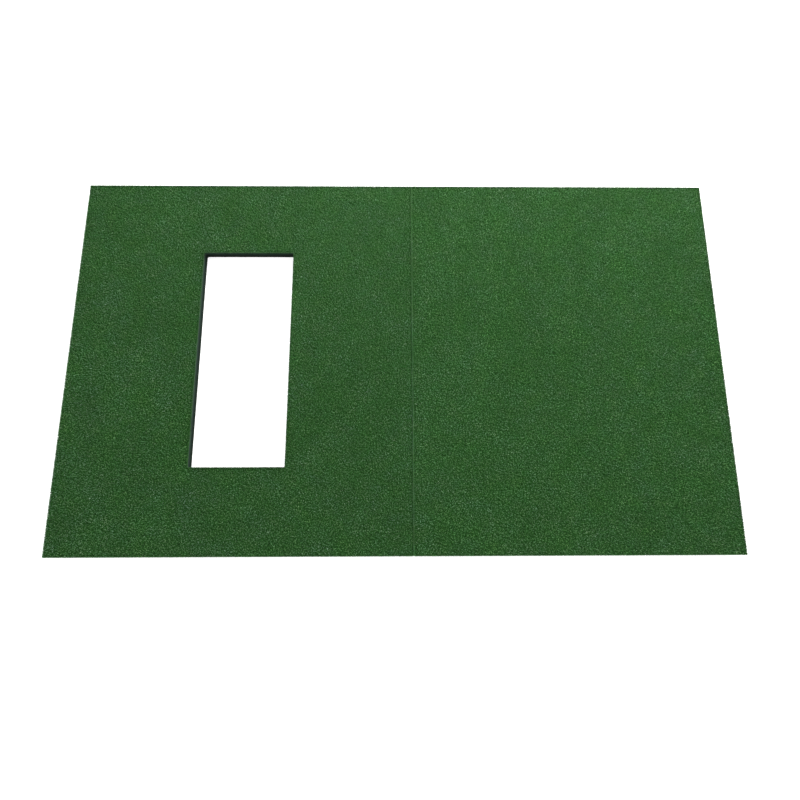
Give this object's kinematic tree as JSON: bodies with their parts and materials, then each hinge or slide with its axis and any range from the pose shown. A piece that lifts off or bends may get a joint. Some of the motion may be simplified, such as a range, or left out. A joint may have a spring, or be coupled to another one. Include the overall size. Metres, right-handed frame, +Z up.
{
  "type": "golf hitting mat",
  "caption": "Flat rectangular golf mat of short dense green turf on layered dark foam, with a through cut-out for a hitting strip and a stance panel that pulls away at a butt seam.",
  "frame": {"origin": "centre of the mat's footprint, on the floor", "axes": "+X along the mat's long side from the hitting panel to the stance panel, +Y across it, +Z up out of the turf"},
  "size_m": [2.134, 1.219, 0.051],
  "materials": {
    "turf_pile": "matte",
    "turf_cloth": "matte",
    "turf_cushion": "matte",
    "comfort_foam": "matte",
    "base_foam": "matte",
    "grip_underlay": "matte",
    "hook_tape": "satin",
    "loop_tape": "matte"
  },
  "bodies": {
    "hitting_panel": {"hitting_pile": "turf_pile", "hitting_turf_cloth": "turf_cloth", "hitting_turf_cushion": "turf_cushion", "hitting_comfort_foam": "comfort_foam", "hitting_base_foam": "base_foam", "hitting_grip_underlay": "grip_underlay", "hook_tape_front": "hook_tape", "hook_tape_middle": "hook_tape", "hook_tape_back": "hook_tape"},
    "stance_panel": {"stance_pile": "turf_pile", "stance_turf_cloth": "turf_cloth", "stance_turf_cushion": "turf_cushion", "stance_comfort_foam": "comfort_foam", "stance_base_foam": "base_foam", "stance_grip_underlay": "grip_underlay", "loop_tape_front": "loop_tape", "loop_tape_middle": "loop_tape", "loop_tape_back": "loop_tape"}
  },
  "joints": [
    {"name": "stance_panel_pull", "type": "slide", "parent": "hitting_panel", "child": "stance_panel", "axis": [1, 0, 0], "range_m": [0, 0.3]}
  ]
}
